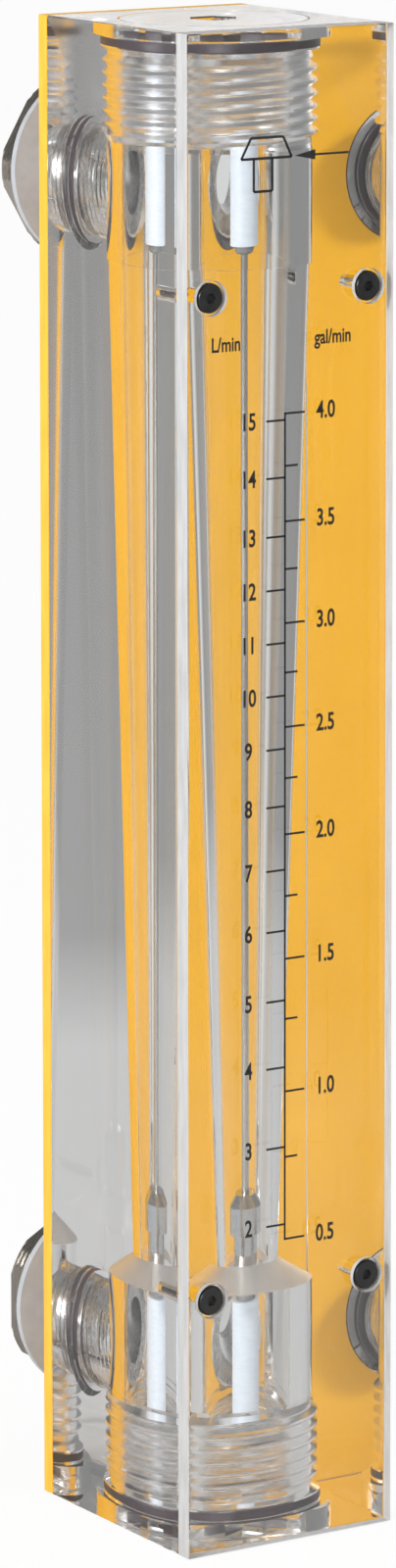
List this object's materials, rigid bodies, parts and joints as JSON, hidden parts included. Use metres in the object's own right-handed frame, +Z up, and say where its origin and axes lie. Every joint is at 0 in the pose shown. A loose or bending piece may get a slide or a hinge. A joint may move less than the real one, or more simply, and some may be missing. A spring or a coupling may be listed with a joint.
{
  "type": "rotameter",
  "caption": "Clear square-block rotameter with a guided float in a tapered bore, threaded end plugs, a printed front scale plate, an amber back plate and two rear panel fittings.",
  "frame": {"origin": "middle of the back plate's rear face, the face that seats on the panel, half way between the two ports", "axes": "+Z up along the measuring tube, +Y out of the back through the panel, +X to the right seen from the front"},
  "size_m": [0.0382, 0.0654, 0.2398],
  "materials": {
    "clear_acrylic": "polished clear acrylic, machined bores",
    "scale_acrylic": "clear acrylic sheet with sawn matte edges and black print",
    "amber_acrylic": "opaque amber-yellow acrylic sheet",
    "seal_rubber": "dark nitrile rubber",
    "stop_plastic": "white turned plastic",
    "bumper_rubber": "grey elastomer",
    "rod_steel": "drawn stainless rod",
    "float_steel": "polished stainless steel",
    "fitting_steel": "turned stainless steel",
    "nut_steel": "drawn hexagon bar with turned corners",
    "washer_steel": "flat washer, satin",
    "screw_black": "black oxide"
  },
  "bodies": {
    "meter": {"body_block": "clear_acrylic", "top_plug": "clear_acrylic", "bottom_plug": "clear_acrylic", "scale_plate": "scale_acrylic", "back_plate": "amber_acrylic", "top_plug_ring": "seal_rubber", "bottom_plug_ring": "seal_rubber", "inlet_ring": "seal_rubber", "outlet_ring": "seal_rubber", "top_stop": "stop_plastic", "bottom_stop": "stop_plastic", "top_bumper": "bumper_rubber", "bottom_bumper": "bumper_rubber", "guide_rod": "rod_steel", "inlet_fitting": "fitting_steel", "outlet_fitting": "fitting_steel", "inlet_nut": "nut_steel", "outlet_nut": "nut_steel", "inlet_washer": "washer_steel", "outlet_washer": "washer_steel", "plate_screw_bottom_left": "screw_black", "plate_screw_bottom_right": "screw_black", "plate_screw_top_left": "screw_black", "plate_screw_top_right": "screw_black"},
    "float": {"float": "float_steel"}
  },
  "joints": [
    {"name": "float_slide", "type": "slide", "parent": "meter", "child": "float", "axis": [0, 0, 1], "range_m": [0, 0.15015]}
  ]
}
